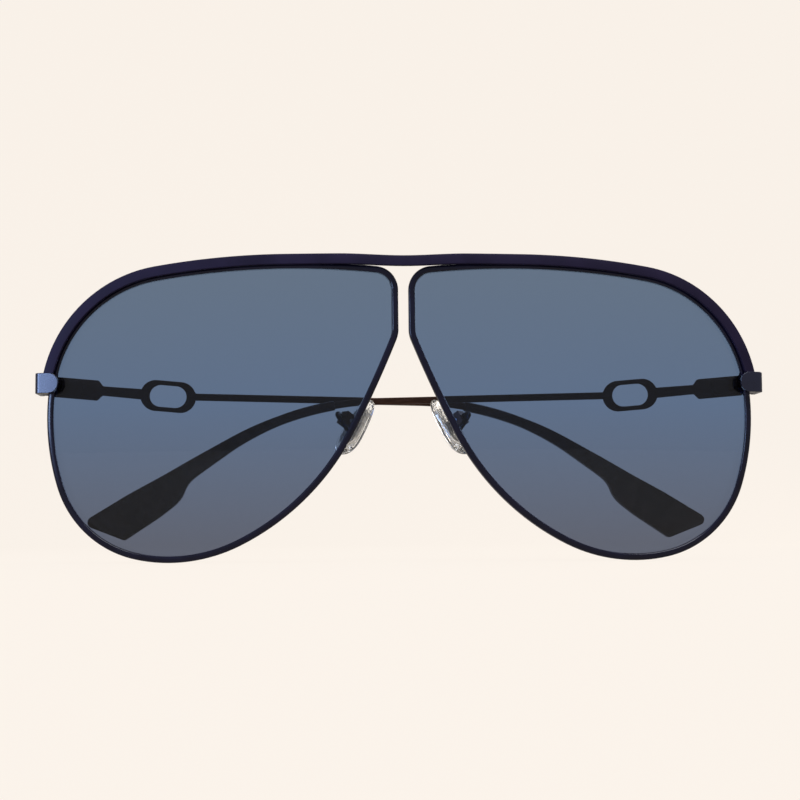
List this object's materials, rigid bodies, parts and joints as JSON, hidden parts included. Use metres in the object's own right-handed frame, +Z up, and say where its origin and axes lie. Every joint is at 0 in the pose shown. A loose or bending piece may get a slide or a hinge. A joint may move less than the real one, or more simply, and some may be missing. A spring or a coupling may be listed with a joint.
{
  "type": "sunglasses",
  "caption": "Oversized metal-framed sunglasses with gradient lenses, a flat brow bar, folding temples with an oblong ring near each hinge, and clear rocking nose pads.",
  "frame": {"origin": "midway between the two lenses, level with their mid height, on the front face of the rims where the bridge of the nose comes", "axes": "+X towards the wearer's left, +Y back towards the face, +Z up"},
  "size_m": [0.1464, 0.025, 0.0605],
  "materials": {
    "dark_metal": "dark purple-navy lacquer, satin on the flat bar and glossy on the wire",
    "steel": "plain steel screws and pad plates",
    "lens_tint": "smooth tinted lens, blue-grey at the top and lighter towards the bottom",
    "tip_brown": "dark brown acetate sleeve",
    "clear_silicone": "clear soft silicone"
  },
  "bodies": {
    "front": {"brow_bar": "dark_metal", "right_rim": "dark_metal", "left_rim": "dark_metal", "right_lens": "lens_tint", "left_lens": "lens_tint", "right_endpiece": "dark_metal", "left_endpiece": "dark_metal", "right_lock_upper": "dark_metal", "left_lock_upper": "dark_metal", "right_lock_lower": "dark_metal", "left_lock_lower": "dark_metal", "right_lock_screw": "steel", "left_lock_screw": "steel", "right_front_hinge": "dark_metal", "left_front_hinge": "dark_metal", "right_hinge_screw": "steel", "left_hinge_screw": "steel", "right_pad_arm": "dark_metal", "left_pad_arm": "dark_metal", "right_pad_box": "dark_metal", "left_pad_box": "dark_metal", "right_pad_screw": "steel", "left_pad_screw": "steel"},
    "left_temple": {"left_temple_hinge": "dark_metal", "left_temple_arm": "dark_metal", "left_temple_tip": "tip_brown"},
    "right_temple": {"right_temple_hinge": "dark_metal", "right_temple_arm": "dark_metal", "right_temple_tip": "tip_brown"},
    "left_pad": {"left_pad_core": "steel", "left_nose_pad": "clear_silicone"},
    "right_pad": {"right_pad_core": "steel", "right_nose_pad": "clear_silicone"}
  },
  "joints": [
    {"name": "left_temple_fold", "type": "hinge", "parent": "front", "child": "left_temple", "pos_m": [0.0706, 0.01662, 0.0062], "axis": [0, 0, -1], "range_deg": [0, 90]},
    {"name": "right_temple_fold", "type": "hinge", "parent": "front", "child": "right_temple", "pos_m": [-0.0706, 0.01662, 0.0062], "axis": [0, 0, 1], "range_deg": [0, 87.8]},
    {"name": "left_pad_rock", "type": "hinge", "parent": "front", "child": "left_pad", "pos_m": [0.01091, 0.00758, -0.00166], "axis": [0.5592, 0.829, 0], "range_deg": [-8, 8]},
    {"name": "right_pad_rock", "type": "hinge", "parent": "front", "child": "right_pad", "pos_m": [-0.01091, 0.00758, -0.00166], "axis": [-0.5592, 0.829, 0], "range_deg": [-8, 8]}
  ]
}
